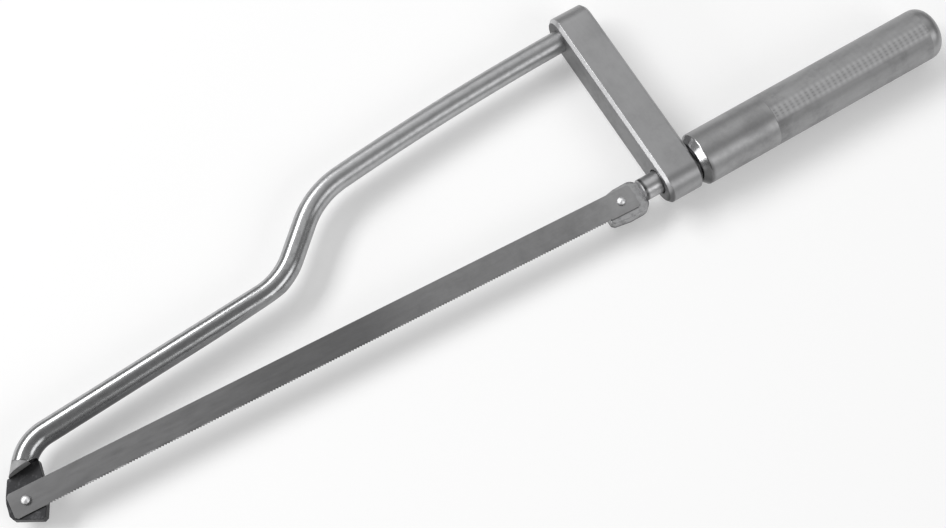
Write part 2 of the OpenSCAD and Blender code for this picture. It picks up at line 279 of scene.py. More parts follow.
def prism(outline, low, high, rim, place):
    """An outline drawn out from low to high. rim lists (inset, depth) pairs from face to side."""
    rings = [(amount, low + depth) for amount, depth in rim]
    rings += [(amount, high - depth) for amount, depth in reversed(rim)]
    return loft([[place(p.x, p.y, height) for p in inset(outline, amount)]
                 for amount, height in rings])


def round_rim(radius, steps=4):
    return [(radius * (1 - math.sin(a)), radius * (1 - math.cos(a)))
            for a in fan(QUARTER, steps)]


def lathe(profile, sides, place, loops=False):
    """Turns (along, radius) points about an axis. place(along, across, up) gives the point."""
    turns = fan(2 * math.pi, sides)[:-1]
    # A ring on the axis shrinks to less than TOUCHING, and loft merges its points
    smallest = 1e-9
    rings = [(along, max(radius, smallest)) for along, radius in profile]
    return loft([[place(along, radius * math.cos(a), radius * math.sin(a)) for a in turns]
                 for along, radius in rings], loops)


def along_draw_axis(x=0.0, y=0.0):
    return lambda along, across, up: saw_point(x + along, y + across, up)


def upright(x, y):
    return lambda along, across, up: saw_point(x + across, y + up, along)


# Pieces

def as_object(mesh, name):
    data = bpy.data.meshes.new(name)
    mesh.to_mesh(data)
    mesh.free()
    piece = bpy.data.objects.new(name, data)
    bpy.context.scene.collection.objects.link(piece)
    return piece


def modified(piece, name, kind, **traits):
    """Puts a modifier on a piece and turns the result into its plain mesh."""
    step = piece.modifiers.new(name, kind)
    for trait, value in traits.items():
        setattr(step, trait, value)
    settle(piece)


def settle(piece):
    graph = bpy.context.evaluated_depsgraph_get()
    done = bpy.data.meshes.new_from_object(piece.evaluated_get(graph))
    old = piece.data
    piece.modifiers.clear()
    piece.data = done
    bpy.data.meshes.remove(old)
    done.name = piece.name


def combine(piece, mesh, operation="DIFFERENCE"):
    """Takes a mesh out of a piece or joins it on."""
    other = as_object(mesh, f"{piece.name}_tool")
    modified(piece, "combine", "BOOLEAN", operation=operation, solver="EXACT", object=other)
    bpy.data.objects.remove(other)


def smooth(piece, angle=30):
    """Smooth shading that keeps flat faces flat up to their rounded edges."""
    piece.data.shade_smooth()
    piece.data.set_sharp_from_angle(angle=math.radians(angle))
    modified(piece, "flat_faces", "WEIGHTED_NORMAL", keep_sharp=True, weight=100)


def soften(piece, width, angle=30):
    """Rounds the sharp edges that are left and smooths the rest."""
    modified(piece, "soften", "BEVEL", width=width, segments=2, limit_method="ANGLE",
             angle_limit=math.radians(angle), harden_normals=False)
    smooth(piece, angle)


def slice_off(piece, point, normal):
    """Cuts away what lies on the side that normal points to, and closes the cut."""
    mesh = bmesh.new()
    mesh.from_mesh(piece.data)
    parts = mesh.verts[:] + mesh.edges[:] + mesh.faces[:]
    found = bmesh.ops.bisect_plane(mesh, geom=parts, plane_co=point, plane_no=normal,
                                   clear_outer=True, dist=TOUCHING)
    rim = [e for e in found["geom_cut"] if isinstance(e, bmesh.types.BMEdge) and e.is_boundary]
    bmesh.ops.holes_fill(mesh, edges=rim)
    bmesh.ops.recalc_face_normals(mesh, faces=mesh.faces)
    mesh.to_mesh(piece.data)
    mesh.free()


def finish_piece(piece, material, body, slot, node):
    """Gives a piece its finish, ties it to its body and hides the part of the node it stands for.
    """
    piece.data.materials.clear()
    piece.data.materials.append(material)
    if body:
        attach(piece, body)
    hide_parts(node)


def share_out(piece, materials, choose):
    """Adds finishes and gives each face the one whose number choose tells."""
    for material in materials:
        piece.data.materials.append(material)
    for face in piece.data.polygons:
        face.material_index = choose(face)


# Nodes

def add_node(tree, kind, inputs=None, **traits):
    """Adds a node. Each input is a plain value or the socket that feeds it."""
    node = tree.nodes.new(kind)
    for trait, value in traits.items():
        setattr(node, trait, value)
    feed(tree, node, inputs or {})
    return node


def feed(tree, node, inputs):
    for name, value in inputs.items():
        if isinstance(value, bpy.types.NodeSocket):
            tree.links.new(value, node.inputs[name])
        else:
            node.inputs[name].default_value = value


def math_node(tree, operation, *values):
    return add_node(tree, "ShaderNodeMath", dict(enumerate(values)),
                    operation=operation).outputs[0]


def arithmetic(tree, *operations):
    return [partial(math_node, tree, operation) for operation in operations]


def slope(tree, value, start, end, low=0.0, high=1.0):
    """Goes smoothly from low at start to high at end."""
    return add_node(tree, "ShaderNodeMapRange", {
        "Value": value, "From Min": start, "From Max": end, "To Min": low, "To Max": high},
        interpolation_type="SMOOTHSTEP").outputs["Result"]


def between(tree, share, first, second):
    """Mixes two colours, each a socket or a plain colour."""
    first, second = (c if isinstance(c, bpy.types.NodeSocket) else (*c, 1)
                     for c in (first, second))
    return add_node(tree, "ShaderNodeMix", {"Factor": share, 6: first, 7: second},
                    data_type="RGBA").outputs[2]


def split(tree, vector):
    return list(add_node(tree, "ShaderNodeSeparateXYZ", {0: vector}).outputs)


def joined(tree, **parts):
    """A vector of the numbers x, y and z."""
    return add_node(tree, "ShaderNodeCombineXYZ",
                    {name.upper(): part for name, part in parts.items()}).outputs[0]


def vector_step(tree, operation, vector, inputs=None):
    return add_node(tree, "ShaderNodeVectorMath", {0: vector, **(inputs or {})},
                    operation=operation).outputs


# Finishes

def tint(colour, share):
    return [c * share for c in colour]


def metal_surface_group():
    """Shared surface of all metals: patches and a fine grain over a base finish."""
    known = bpy.data.node_groups.get("metal_surface")
    if known:
        return known
    tree = bpy.data.node_groups.new("metal_surface", "ShaderNodeTree")
    for name, kind, default in (
            ("Vector", "Vector", (0, 0, 0)), ("Stretch", "Vector", (1, 1, 1)),
            ("Grain Scale", "Float", 900.0), ("Patch Scale", "Float", 60.0),
            ("Patch Low", "Float", 0.45), ("Patch High", "Float", 0.75),
            ("Color", "Color", (0.6, 0.6, 0.6, 1)), ("Patch Color", "Color", (0.3, 0.3, 0.3, 1)),
            ("Grain Depth", "Float", 0.15), ("Roughness", "Float", 0.35),
            ("Patch Roughness", "Float", 0.5)):
        tree.interface.new_socket(name=name, in_out="INPUT",
                                  socket_type="NodeSocket" + kind).default_value = default
    for name, kind in (("Color", "Color"), ("Roughness", "Float"), ("Height", "Float")):
        tree.interface.new_socket(name=name, in_out="OUTPUT", socket_type="NodeSocket" + kind)
    given = add_node(tree, "NodeGroupInput").outputs
    add, less, times = arithmetic(tree, "ADD", "SUBTRACT", "MULTIPLY")
    stretched = vector_step(tree, "MULTIPLY", given["Vector"], {1: given["Stretch"]})[0]
    grain, patches = (add_node(tree, "ShaderNodeTexNoise", {
        "Vector": vector, "Scale": given[scale], "Detail": detail, "Roughness": rough},
        ).outputs["Fac"] for vector, scale, detail, rough in (
            (stretched, "Grain Scale", 4.0, 0.65), (given["Vector"], "Patch Scale", 6.0, 0.7)))
    patched = slope(tree, patches, given["Patch Low"], given["Patch High"])
    tone = between(tree, patched, given["Color"], given["Patch Color"])
    speckle = times(less(grain, 0.5), given["Grain Depth"])
    shaded = vector_step(tree, "SCALE", tone, {"Scale": add(speckle, 1.0)})[0]
    rough = add_node(tree, "ShaderNodeMix", {
        "Factor": patched, 2: given["Roughness"], 3: given["Patch Roughness"]},
        data_type="FLOAT").outputs[0]
    grit = add_node(tree, "ShaderNodeMath", {0: speckle, 1: 0.5, 2: rough},
                    operation="MULTIPLY_ADD", use_clamp=True).outputs[0]
    add_node(tree, "NodeGroupOutput", {"Color": shaded, "Roughness": grit, "Height": grain})
    return tree


def metal(name, colour, tones, roughs, grain_scale=900.0, patch_scale=60.0,
          patch=(0.45, 0.75), grain_depth=0.15, stretch=(1, 1, 1), bump=0.05, bump_depth=0.02,
          turn=0.0, attribute=None, metallic=1.0):
    """A metal finish on the shared surface.

    tones and roughs are pairs, for the base and for the patches. tones are shares of colour.
    """
    material = bpy.data.materials.new(name)
    material.use_nodes = True
    tree = material.node_tree
    if attribute:
        place = add_node(tree, "ShaderNodeAttribute", attribute_name=attribute)
    else:
        place = add_node(tree, "ShaderNodeMapping", {
            "Vector": add_node(tree, "ShaderNodeTexCoord").outputs["Object"],
            "Location": -ZERO, "Rotation": (0, 0, turn)}, vector_type="POINT")
    surface = add_node(tree, "ShaderNodeGroup", {
        "Vector": place.outputs["Vector"], "Stretch": stretch, "Grain Scale": grain_scale,
        "Patch Scale": patch_scale, "Patch Low": patch[0], "Patch High": patch[1],
        "Color": (*tint(colour, tones[0]), 1), "Patch Color": (*tint(colour, tones[1]), 1),
        "Grain Depth": grain_depth, "Roughness": roughs[0], "Patch Roughness": roughs[1]},
        node_tree=metal_surface_group())
    relief = add_node(tree, "ShaderNodeBump", {
        "Strength": bump, "Distance": bump_depth * MM, "Height": surface.outputs["Height"]})
    feed(tree, tree.nodes["Principled BSDF"], {
        "Metallic": metallic, "Base Color": surface.outputs["Color"],
        "Roughness": surface.outputs["Roughness"], "Normal": relief.outputs["Normal"]})
    return material


def opened(tree):
    """The shared surface of a finish, and its place as along, across and up."""
    surface = next(n for n in tree.nodes if n.type == "GROUP")
    return surface, split(tree, surface.inputs["Vector"].links[0].from_socket)


def lay_painted_light(tree, share, painted_colour):
    """Lays painted light and shade over a finish where share is high."""
    colour = tree.nodes["Principled BSDF"].inputs["Base Color"]
    tree.links.new(between(tree, share, colour.links[0].from_socket, painted_colour), colour)


def noted(tree, name):
    """A number that a piece's mesh carries."""
    return add_node(tree, "ShaderNodeAttribute", attribute_name=name).outputs["Fac"]


# Geometry node trees

def geometry_tree(name, sockets):
    """A tree with a mesh in and out, named inputs and a material."""
    tree = bpy.data.node_groups.new(name, "GeometryNodeTree")
    for label, kind in {"Geometry": "Geometry", **sockets, "Material": "Material"}.items():
        tree.interface.new_socket(name=label, in_out="INPUT", socket_type="NodeSocket" + kind)
    tree.interface.new_socket(name="Geometry", in_out="OUTPUT",
                              socket_type="NodeSocketGeometry")
    return tree, add_node(tree, "NodeGroupInput").outputs


def run_tree(piece, tree, values):
    """Runs a tree on a piece with its named inputs and keeps the plain mesh."""
    step = piece.modifiers.new(tree.name, "NODES")
    step.node_group = tree
    for item in tree.interface.items_tree:
        if item.in_out == "INPUT" and item.name in values:
            step[item.identifier] = values[item.name]
    settle(piece)


def end_tree(tree, given, geometry):
    """Every tree ends by making instances real and setting the material."""
    real = add_node(tree, "GeometryNodeRealizeInstances", {0: geometry})
    coat = add_node(tree, "GeometryNodeSetMaterial", {
        "Geometry": real.outputs[0], "Material": given["Material"]})
    add_node(tree, "NodeGroupOutput", {0: coat.outputs[0]})
    return tree


def captured(tree, kind, curve, value):
    """Notes a value on a curve before the curve is swept."""
    node = add_node(tree, "GeometryNodeCaptureAttribute")
    node.capture_items.new(kind, "Noted")
    feed(tree, node, {0: curve, "Noted": value})
    return node.outputs


def stored(tree, kind, name, geometry, value):
    return add_node(tree, "GeometryNodeStoreNamedAttribute", {
        "Geometry": geometry, "Name": name, "Value": value}, data_type=kind).outputs[0]


def sweep_tree():
    """Sweeps a round bar along a drawn path and notes the length along it."""
    tree, given = geometry_tree("rod_sweep", {"Radius": "Float", "Sides": "Int"})
    path = add_node(tree, "GeometryNodeMeshToCurve", {"Mesh": given["Geometry"]})
    length = add_node(tree, "GeometryNodeSplineParameter").outputs["Length"]
    line = captured(tree, "FLOAT", path.outputs[0], length)
    circle = add_node(tree, "GeometryNodeCurvePrimitiveCircle", {
        "Resolution": given["Sides"], "Radius": given["Radius"]})
    spot = add_node(tree, "GeometryNodeInputPosition").outputs[0]
    ring = captured(tree, "VECTOR", circle.outputs[0], spot)
    bar = add_node(tree, "GeometryNodeCurveToMesh", {
        "Curve": line[0], "Profile Curve": ring[0], "Fill Caps": True})
    across, up, _ = split(tree, ring["Noted"])
    place = joined(tree, x=line["Noted"], y=across, z=up)
    return end_tree(tree, given,
                    stored(tree, "FLOAT_VECTOR", "along_rod", bar.outputs[0], place))


def teeth_tree():
    """Sets teeth in a row along the blade and bends them to both sides in waves."""
    tree, given = geometry_tree("blade_teeth", {
        "Tooth": "Object", "Count": "Int", "Start": "Vector", "Pitch": "Float",
        "Tilt": "Float", "Wave": "Float", "Plain Ends": "Float"})
    add, less, times, over, sine, least = arithmetic(
        tree, "ADD", "SUBTRACT", "MULTIPLY", "DIVIDE", "SINE", "MINIMUM")
    row = add_node(tree, "GeometryNodeMeshLine", {
        "Count": given["Count"], "Start Location": given["Start"],
        "Offset": joined(tree, x=given["Pitch"])}, mode="OFFSET")
    tooth = add_node(tree, "GeometryNodeObjectInfo", {"Object": given["Tooth"]})
    number = add_node(tree, "GeometryNodeInputIndex").outputs[0]
    swing = sine(times(over(number, given["Wave"]), 2 * math.pi))
    from_end = least(number, less(less(given["Count"], 1), number))
    fade = slope(tree, from_end, given["Plain Ends"], add(given["Plain Ends"], 4))
    lean = times(times(swing, given["Tilt"]), fade)
    copies = add_node(tree, "GeometryNodeInstanceOnPoints", {
        "Points": row.outputs[0], "Instance": tooth.outputs["Geometry"],
        "Rotation": joined(tree, x=lean)})
    both = add_node(tree, "GeometryNodeJoinGeometry", {0: given["Geometry"]})
    tree.links.new(copies.outputs[0], both.inputs[0])
    return end_tree(tree, given, both.outputs[0])


def knurl_tree():
    """Presses ribs and fine long grooves into the grip between two places along it."""
    tree, given = geometry_tree("grip_knurl", dict.fromkeys((
        "Start", "End", "Rib Pitch", "Rib Depth", "Grooves", "Groove Depth", "Turn", "Radius"),
        "Float"))
    add, less, times, over, sine, cosine, most, above, below, arc = arithmetic(
        tree, "ADD", "SUBTRACT", "MULTIPLY", "DIVIDE", "SINE", "COSINE", "MAXIMUM",
        "GREATER_THAN", "LESS_THAN", "ARCTAN2")

    def hollows(turns):
        """Nought on the ridges and one between them."""
        return times(less(1.0, cosine(turns)), 0.5)

    spot = add_node(tree, "GeometryNodeInputPosition").outputs[0]
    along, across, up = split(tree, spot)
    angle = arc(up, across)
    rib = hollows(times(over(less(along, given["Start"]), given["Rib Pitch"]), 2 * math.pi))
    groove = hollows(times(angle, given["Grooves"]))
    outward = joined(tree, y=across, z=up)
    size = vector_step(tree, "LENGTH", outward)["Value"]
    # The knurl lies on the skin between both places, and not on the end faces or in the bore
    knurled = times(times(above(along, given["Start"]), below(along, given["End"])),
                    above(size, times(given["Radius"], 0.99)))
    # It is fresh in a band above and in one below, and nearly worn away between them
    facing = sine(add(angle, given["Turn"]))
    upper = slope(tree, facing, 0.93, 0.998, 0.2)
    fresh = most(upper, slope(tree, facing, -0.1, -0.55))
    depth = add(times(rib, given["Rib Depth"]), times(groove, given["Groove Depth"]))
    push = times(times(depth, knurled), fresh)
    shift = vector_step(tree, "SCALE", vector_step(tree, "NORMALIZE", outward)[0],
                        {"Scale": times(push, -1.0)})
    move = add_node(tree, "GeometryNodeSetPosition", {
        "Geometry": given["Geometry"], "Offset": shift[0]})
    # Notes where the hollows get painted shade and where the upper band gets a painted highlight
    pattern = add(times(rib, 0.85), times(groove, 0.15))
    pressed = stored(tree, "FLOAT", "pressed", move.outputs[0],
                     times(pattern, times(fresh, knurled)))
    return end_tree(tree, given,
                    stored(tree, "FLOAT", "rubbed", pressed, times(upper, knurled)))


# The frame

def front_pin():
    blade = settings().saw_blade
    return Vector((-blade.holes * math.cos(blade.slope), blade.holes * math.sin(blade.slope)))


def toe_point(u, v, z=0.0):
    """A point of the leaning toe block, from the front pin."""
    lean = settings().saw_toe.lean
    pin = front_pin()
    return saw_point(pin.x + u * math.cos(lean) + v * math.sin(lean),
                     pin.y - u * math.sin(lean) + v * math.cos(lean), z)


def rod_start():
    return toe_point(0.3 * MM, 16.9 * MM)


def seat_edge():
    """A point on the back edge of the blade seat and the way that points to the toe."""
    toe = settings().saw_toe
    point = toe_point(0, toe.back)
    along = toe_point(math.cos(toe.slant), toe.back + math.sin(toe.slant)) - point
    return point, Vector((along.y, -along.x, 0)).normalized()


def bend_step(radius, start, end):
    """How far a bend leads, from its first to its last point."""
    side = 1 if end > start else -1
    return side * radius * Vector((math.sin(end) - math.sin(start),
                                   math.cos(start) - math.cos(end), 0))


def bend_points(start, radius, first, last):
    point_spacing, most = 0.8 * MM, 60
    count = min(max(2, math.ceil(abs(last - first) * radius / point_spacing)), most)
    return [start + bend_step(radius, first, first + turn)
            for turn in fan(last - first, count)[1:]]


def run_points(start, end, count):
    return [start.lerp(end, share) for share in fan(1, count)[1:]]


def rod_path():
    """Centre line of the rod from the toe to just inside the post."""
    rod, post = settings().saw_rod, settings().saw_post
    start = rod_start()
    heading = rod.front_slope + rod.toe_turn
    front = start + bend_step(rod.toe_bend, heading, rod.front_slope)
    lower = bend_step(rod.lower_bend, rod.front_slope, rod.rise_slope)
    upper = bend_step(rod.upper_bend, rod.rise_slope, rod.rear_slope)
    bow = bend_step(rod.bow, rod.rear_slope, rod.post_slope)
    reach = saw_point(post.reach, rod.height) - front - lower - upper - bow
    sine = math.sin(rod.rise_slope - rod.front_slope)
    front_run = (reach.x * math.sin(rod.rise_slope) - reach.y * math.cos(rod.rise_slope)) / sine
    rise_run = (reach.y * math.cos(rod.front_slope) - reach.x * math.sin(rod.front_slope)) / sine
    front_end = front + front_run * unit(rod.front_slope)
    rise_start = front_end + lower
    rise_end = rise_start + rise_run * unit(rod.rise_slope)
    points = [start] + bend_points(start, rod.toe_bend, heading, rod.front_slope)
    points += run_points(front, front_end, 24)
    points += bend_points(front_end, rod.lower_bend, rod.front_slope, rod.rise_slope)
    points += run_points(rise_start, rise_end, 4)
    points += bend_points(rise_end, rod.upper_bend, rod.rise_slope, rod.rear_slope)
    points += bend_points(rise_end + upper, rod.bow, rod.rear_slope, rod.post_slope)
    return points + [points[-1] + unit(rod.post_slope) * 2 * MM]


def wear_and_shade_plating(tree, rod):
    """The plating is bright in front, satin on the rear run and painted darker under the front
    run, as painted shade.
    """
    surface, (length, side, _) = opened(tree)
    still_bright, worn_down = 150 * MM, 215 * MM
    wearing = partial(slope, tree, length, still_bright, worn_down)
    worn = wearing()
    feed(tree, surface, {
        "Color": between(tree, worn, rod.colour, rod.satin),
        "Patch Color": between(tree, worn, tint(rod.colour, 0.8), tint(rod.satin, 0.88)),
        "Roughness": wearing(low=0.23, high=0.38),
        "Patch Roughness": wearing(low=0.27, high=0.43)})
    # Painted shade: the underside of the front run is darkened, fading out towards the rear run
    under = slope(tree, side, 3.4 * MM, 5.3 * MM)
    fading = slope(tree, length, 20 * MM, 200 * MM, 0.88, 0.0)
    lay_painted_light(tree, math_node(tree, "MULTIPLY", under, fading), rod.underside_shade)


class SAW_OT_rod(Operator):
    """Build the bent frame rod"""
    bl_idname = "saw.rod"
    bl_label = "Frame Rod"

    def execute(self, context):
        rod, post = settings().saw_rod, settings().saw_post
        finish = metal("bright_plating", rod.colour, (1, 0.8), (0.23, 0.27), grain_scale=700,
                       patch_scale=260, patch=(0.42, 0.64), grain_depth=0.22,
                       stretch=(0.2, 1, 1), bump=0.12, attribute="along_rod")
        wear_and_shade_plating(finish.node_tree, rod)
        path = bmesh.new()
        corners = [path.verts.new(point) for point in rod_path()]
        for pair in zip(corners, corners[1:]):
            path.edges.new(pair)
        piece = as_object(path, "bent_rod")
        run_tree(piece, sweep_tree(), {"Radius": rod.diameter / 2, "Sides": rod.sides,
                                       "Material": finish})
        slice_off(piece, *seat_edge())
        slice_off(piece, saw_point(post.reach, 0), Vector((1, 0, 0)))
        soften(piece, 0.15 * MM)
        finish_piece(piece, finish, "frame", "bright_rod", "frame_rod")
        return {"FINISHED"}


def shade_post_front(tree, post, high=None):
    """Painted shade at the front face, low down and, on the broad faces, around the rod too."""
    _, (along, across, _) = opened(tree)
    add, times = arithmetic(tree, "ADD", "MULTIPLY")
    near = slope(tree, along, post.reach + 2.4 * MM, post.reach + 1.2 * MM)
    share = times(slope(tree, across, -7.5 * MM, -10.5 * MM, 0, 0.8), near)
    if high:
        around_rod = slope(tree, across, high - 2 * MM, high + 5 * MM, 0, 0.6)
        share = add(share, times(around_rod, near))
    lay_painted_light(tree, share, tint(post.colour, 0.14))


class SAW_OT_post(Operator):
    """Build the rear post with its bore, seat and screw holes"""
    bl_idname = "saw.post"
    bl_label = "Rear Post"

    def execute(self, context):
        post, rod, bolt = settings().saw_post, settings().saw_rod, settings().saw_bolt
        drawn_out, broad = (1.2, 0.08, 1.2), (0.4, 0.8)
        finish = metal("satin_post", post.colour, (1, 0.8), (0.42, 0.5), grain_scale=500,
                       patch_scale=30, patch=broad, grain_depth=0.12, stretch=drawn_out,
                       bump=0.12)
        # Painted shade on the broad front and rear faces: a darker copy of the satin finish,
        # standing in for a darker reflection
        shaded_broad = metal("sawn_faces", post.colour, (0.7, 0.55), (0.5, 0.6), grain_scale=500,
                     patch=broad, stretch=drawn_out, bump=0.15)
        # Painted shade in the bore and its countersink: a nearly black copy of the post's finish
        shaded_bore = metal("bore_grime", post.colour, (0.12, 0.2), (0.6, 0.7), patch_scale=300,
                      grain_depth=0.3, bump=0.2)
        # The front rim is worn and also painted lighter, as a painted highlight where the low
        # side light catches it
        worn = metal("worn_rim", post.colour, (1.35, 1.2), (0.36, 0.44), grain_scale=700,
                     patch=broad, grain_depth=0.12, bump=0.08)
        # Painted shade at the front of the post, on each of its finishes
        shade_post_front(finish.node_tree, post)
        shade_post_front(shaded_broad.node_tree, post, rod.height)
        shade_post_front(worn.node_tree, post)

        end = post.thickness / 2
        low, high = -post.below + end, rod.height + post.above - end
        outline = [Vector((centre + end * math.cos(start + a), end * math.sin(start + a)))
                   for centre, start in ((high, -QUARTER), (low, QUARTER))
                   for a in fan(math.pi, 48)]
        rim = rounded([(4 * MM, 0), (post.chamfer, 0), (0, post.chamfer), (0, 5 * MM)],
                      0.3 * MM, closed=False)[1:-1]
        piece = as_object(prism(outline, post.reach, post.reach + post.width, rim,
                                lambda y, z, x: saw_point(x, y, z)), "satin_post")

        over = 1 * MM
        back = post.width + over
        bore = bolt.shank / 2 + 0.08 * MM
        countersink = bolt.shank / 2 + 1.8 * MM
        seat, seat_depth, rod_screw_hole, guide_hole = 4.01 * MM, 10 * MM, 2.58 * MM, 2.51 * MM
        shaft, top = along_draw_axis(post.reach), along_draw_axis(post.reach, rod.height)
        for profile, sides, place in (
                ([(-over, countersink), (0.72 * MM, bore), (back, bore)], 96, shaft),
                ([(-over, seat), (seat_depth, seat)], 64, top),
                ([(5 * MM, rod_screw_hole), (post.width - SCREW_HEAD, rod_screw_hole),
                  (post.width, 5 * MM), (back, 5 * MM)], 64, top),
                ([(-end - over, guide_hole), (-over, guide_hole)], 48,
                 upright(post.reach + GUIDE_SETBACK, 0))):
            combine(piece, lathe(profile, sides, place))
        soften(piece, 0.2 * MM, 35)
        finish_piece(piece, finish, "frame", "post_steel", "rear_post")

        shaded_bore_reach = bolt.shank / 2 + 1.1 * MM

        def choose(face):
            """2 in the bore, 1 on the broad faces, 3 on the front rim, 0 elsewhere."""
            if (face.center - ZERO).yz.length < shaded_bore_reach:
                return 2
            if abs(face.normal.x) > 0.9:
                return 1
            return 3 if face.normal.x < -0.3 else 0

        share_out(piece, (shaded_broad, shaded_bore, worn), choose)
        return {"FINISHED"}


class SAW_OT_toe(Operator):
    """Build the toe block and the collar between block and rod"""
    bl_idname = "saw.toe"
    bl_label = "Toe Block"

    def execute(self, context):
        toe, rod = settings().saw_toe, settings().saw_rod
        dark = metal("blackened_block", toe.colour, (1, 2.2), (0.5, 0.42),
                     patch_scale=260, patch=(0.5, 0.7), grain_depth=0.5, bump=0.4,
                     bump_depth=0.05)
        bare = metal("bare_collar", toe.collar, (1, 0.6), (0.6, 0.7),
                     patch_scale=200, patch=(0.4, 0.7), grain_depth=0.3, bump=0.4,
                     bump_depth=0.05, metallic=0.25)
        outline = rounded(mm((-7.8, -5.87), (-6.3, -7.60), (6.3, -9.60), (7.8, -8.34), (8.9, 0),
                             (8.9, 3), (6.3, 17.76), (-7.8, 10.69), (-8.9, 3), (-8.9, 0)),
                          0.6 * MM)
        block = as_object(prism(outline, -rod.diameter / 2, 0, round_rim(toe.rim), toe_point),
                          "toe_plate")
        smooth(block)
        finish_piece(block, dark, "frame", "toe_steel", "toe_block")

        start, way = rod_start(), -unit(rod.front_slope + rod.toe_turn)
        side = Vector((-way.y, way.x, 0))
        radius, length = rod.diameter / 2, 12 * MM

        def place(along, across, up):
            return start + way * along + side * across + Vector((0, 0, up))

        collar = as_object(lathe([(0, radius), (length, radius)], 64, place), "toe_wedge")
        slice_off(collar, *seat_edge())
        soften(collar, 0.2 * MM)
        finish_piece(collar, bare, "frame", "collar_steel", "toe_collar")
        return {"FINISHED"}


# The blade and its pins

class SAW_OT_pins(Operator):
    """Build the two domed blade pins"""
    bl_idname = "saw.pins"
    bl_label = "Blade Pins"

    def execute(self, context):
        blade, rod = settings().saw_blade, settings().saw_rod
        finish = metal("polished_pin", blade.pin_colour, (1, 0.7), (0.48, 0.55),
                       grain_scale=1500, patch_scale=500, bump=0.1, bump_depth=0.01)
        radius, foot = blade.pin / 2, -rod.diameter / 2
        dome = radius * 1.25
        centre = blade.thickness + blade.pin_rise - dome
        profile = [(foot, 0), (foot, radius)]
        profile += [(centre + dome * math.cos(a), dome * math.sin(a))
                    for a in reversed(fan(math.asin(radius / dome), 10))]
        pin = front_pin()
        for name, x, y, body, node in (
                ("toe_pin", pin.x, pin.y, "frame", "front_blade_pin"),
                ("eye_pin", 0, 0, "draw", "rear_blade_pin")):
            piece = as_object(lathe(profile, 48, upright(x, y)), name)
            smooth(piece, 40)
            finish_piece(piece, finish, body, "pin_steel", node)
        return {"FINISHED"}


def grade_strip(tree, blade):
    """The strip is darkest about its middle, lighter towards the rear and lightest at the rear
    end.
    """
    surface, (along, _, _) = opened(tree)
    run = add_node(tree, "ShaderNodeMapRange", {
        "Value": along, "From Min": -blade.holes - blade.over, "From Max": blade.over})
    tones = add_node(tree, "ShaderNodeValToRGB", {"Fac": run.outputs["Result"]})
    stops = ((0.0, 0.8), (0.3, 0.84), (0.4, 0.7), (0.55, 0.7), (0.67, 1.12), (0.9, 1.16),
             (0.98, 1.5))
    ramp = tones.color_ramp.elements
    while len(ramp) < len(stops):
        ramp.new(1.0)
    for stop, (place, tone) in zip(ramp, stops):
        stop.position = place
        stop.color = (*tint(blade.colour, tone), 1)
    colour = tones.outputs["Color"]
    darker = vector_step(tree, "SCALE", colour, {"Scale": 0.82})[0]
    feed(tree, surface, {"Color": colour, "Patch Color": darker})


class SAW_OT_blade(Operator):
    """Build the blade with its holes and set teeth"""
    bl_idname = "saw.blade"
    bl_label = "Blade"

    def execute(self, context):
        blade = settings().saw_blade
        finish = metal("rolled_strip", blade.colour, (1, 0.72), (0.36, 0.5),
                       grain_scale=650, patch_scale=90, patch=(0.35, 0.8), grain_depth=0.25,
                       stretch=(0.12, 1, 1), bump=0.15, turn=blade.slope)
        grade_strip(finish.node_tree, blade)
        half, corner = blade.width / 2, blade.corner
        root = -half + blade.depth
        low, high = -blade.over, blade.holes + blade.over
        count = int((blade.holes - 2 * blade.plain) / blade.pitch)
        first = (blade.holes - count * blade.pitch) / 2
        last = first + count * blade.pitch
        step_in, steps = 0.3 * MM, 120
        outline = [(low, corner - half), (low + corner, -half), (first - step_in, -half)]
        outline += [(first + run, root) for run in fan(last - first, steps)]
        outline += [(last + step_in, -half), (high - corner, -half), (high, corner - half),
                    (high, half - corner)]
        outline += [(high - corner - run, half) for run in fan(high - low - 2 * corner, steps)]
        outline += [(low, half - corner)]
        strip = as_object(prism([Vector(p) for p in outline], 0, blade.thickness,
                                round_rim(0.08 * MM, 2), lambda x, y, z: Vector((x, y, z))),
                          "saw_blade")
        hole = blade.pin / 2 + 0.1 * MM
        for x in (0, blade.holes):
            combine(strip, lathe([(-1 * MM, hole), (2 * MM, hole)], 48,
                                 lambda along, across, up: Vector((x + across, up, along))))
        mesh = bmesh.new()
        mesh.from_mesh(strip.data)
        bmesh.ops.triangulate(mesh, faces=[f for f in mesh.faces if len(f.verts) > 4])
        mesh.to_mesh(strip.data)
        mesh.free()

        # A thin slit between neighbours keeps the teeth from sharing a face
        slit, overlap, thick = 0.01 * MM, 0.1 * MM, blade.thickness / 2
        front, behind = slit - 0.25 * blade.pitch, 0.75 * blade.pitch - slit
        shape = [(front, overlap), (front, 0), (0, -blade.depth), (behind, 0), (behind, overlap)]
        tooth = as_object(loft([[Vector((x, y, z)) for x, y in shape]
                                for z in (-thick, thick)]), "tooth_shape")
        run_tree(strip, teeth_tree(), {
            "Tooth": tooth, "Count": count,
            "Start": (first + 0.25 * blade.pitch, root, thick),
            "Pitch": blade.pitch, "Tilt": blade.tilt, "Wave": float(blade.wave),
            "Plain Ends": 3.0, "Material": finish})
        bpy.data.objects.remove(tooth)
        flip = Matrix.Diagonal((1, -1, 1, 1))
        turn = Matrix.Rotation(math.pi - blade.slope, 4, "Z")
        strip.data.transform(Matrix.Translation(ZERO) @ turn @ flip)
        strip.data.flip_normals()
        smooth(strip, 25)
        finish_piece(strip, finish, None, "blade_steel", "blade")
        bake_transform(strip)
        return {"FINISHED"}


# The draw bolt and the fasteners

